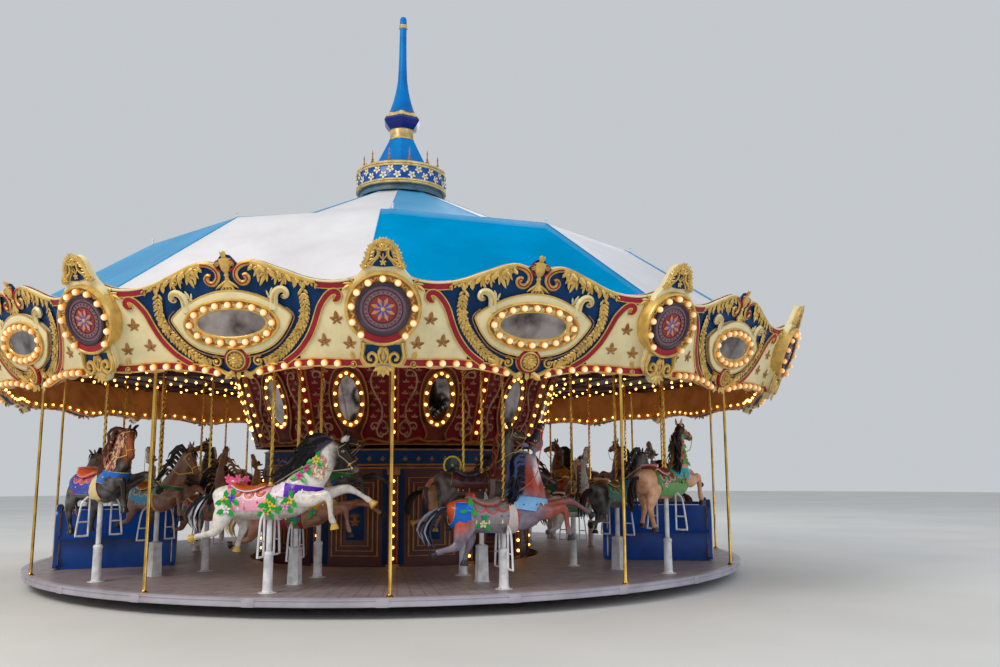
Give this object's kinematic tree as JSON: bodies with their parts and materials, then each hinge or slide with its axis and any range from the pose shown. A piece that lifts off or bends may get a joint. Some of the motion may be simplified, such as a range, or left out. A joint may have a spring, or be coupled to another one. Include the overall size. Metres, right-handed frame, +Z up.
{
  "type": "fairground carousel",
  "caption": "Round fairground carousel with jumping horses on brass poles in three rows, chariots, rounding boards and a striped canvas roof with a spire.",
  "frame": {"origin": "on the mast's axis at ground level", "axes": "+Z up along the mast; -Y towards the roof corner that faces the front; +X to the right seen from the front"},
  "size_m": [13.2932, 13.2932, 9.69],
  "materials": {
    "painted_steel": "satin paint",
    "housing_panels": "painted panels with gilt mouldings",
    "ceiling_panels": "matt paint",
    "drum_panels": "painted panels with gilt scrolls",
    "painted_boards": "painted and gilded glass fibre",
    "canopy_cloth": "coated canvas in white and blue gores",
    "gilded_ornament": "gold paint, semi-gloss",
    "spire_enamel": "high-gloss teal gel coat",
    "chariot_lacquer": "high-gloss lacquer",
    "deck_planks": "painted ribbed deck plates",
    "horse_enamel": "gloss enamel"
  },
  "bodies": {
    "base": {"base_plinth": "painted_steel", "centre_mast": "painted_steel", "centre_housing": "housing_panels"},
    "turntable": {"ceiling": "ceiling_panels", "upper_drum": "drum_panels", "rounding_boards": "painted_boards", "canopy_lower": "canopy_cloth", "canopy_upper": "canopy_cloth", "crown": "gilded_ornament", "spire": "spire_enamel", "deck_section_01": "deck_planks", "deck_section_02": "deck_planks", "deck_section_03": "deck_planks", "deck_section_04": "deck_planks", "deck_section_05": "deck_planks", "deck_section_06": "deck_planks", "deck_section_07": "deck_planks", "deck_section_08": "deck_planks", "deck_section_09": "deck_planks", "deck_section_10": "deck_planks", "deck_section_11": "deck_planks", "deck_section_12": "deck_planks", "chariot_01": "chariot_lacquer", "chariot_02": "chariot_lacquer"},
    "jumpers_a": {"horse_outer_02": "horse_enamel", "horse_outer_05": "horse_enamel", "horse_outer_08": "horse_enamel", "horse_outer_11": "horse_enamel", "horse_middle_01": "horse_enamel", "horse_middle_04": "horse_enamel", "horse_middle_07": "horse_enamel", "horse_inner_06": "horse_enamel", "horse_inner_09": "horse_enamel", "horse_inner_12": "horse_enamel"},
    "jumpers_b": {"horse_outer_06": "horse_enamel", "horse_outer_09": "horse_enamel", "horse_outer_12": "horse_enamel", "horse_middle_02": "horse_enamel", "horse_middle_05": "horse_enamel", "horse_middle_08": "horse_enamel", "horse_middle_11": "horse_enamel", "horse_inner_01": "horse_enamel", "horse_inner_04": "horse_enamel", "horse_inner_07": "horse_enamel"},
    "jumpers_c": {"horse_outer_01": "horse_enamel", "horse_outer_04": "horse_enamel", "horse_outer_07": "horse_enamel", "horse_middle_06": "horse_enamel", "horse_middle_09": "horse_enamel", "horse_middle_12": "horse_enamel", "horse_inner_02": "horse_enamel", "horse_inner_05": "horse_enamel", "horse_inner_08": "horse_enamel", "horse_inner_11": "horse_enamel"}
  },
  "joints": [
    {"name": "turntable_spin", "type": "hinge", "parent": "base", "child": "turntable", "pos_m": [0, 0, 0], "axis": [0, 0, 1], "continuous": true},
    {"name": "jumpers_a_lift", "type": "slide", "parent": "turntable", "child": "jumpers_a", "axis": [0, 0, 1], "range_m": [-0.353, 0.027]},
    {"name": "jumpers_b_lift", "type": "slide", "parent": "turntable", "child": "jumpers_b", "axis": [0, 0, 1], "range_m": [-0.193, 0.187]},
    {"name": "jumpers_c_lift", "type": "slide", "parent": "turntable", "child": "jumpers_c", "axis": [0, 0, 1], "range_m": [-0.024, 0.356]}
  ]
}
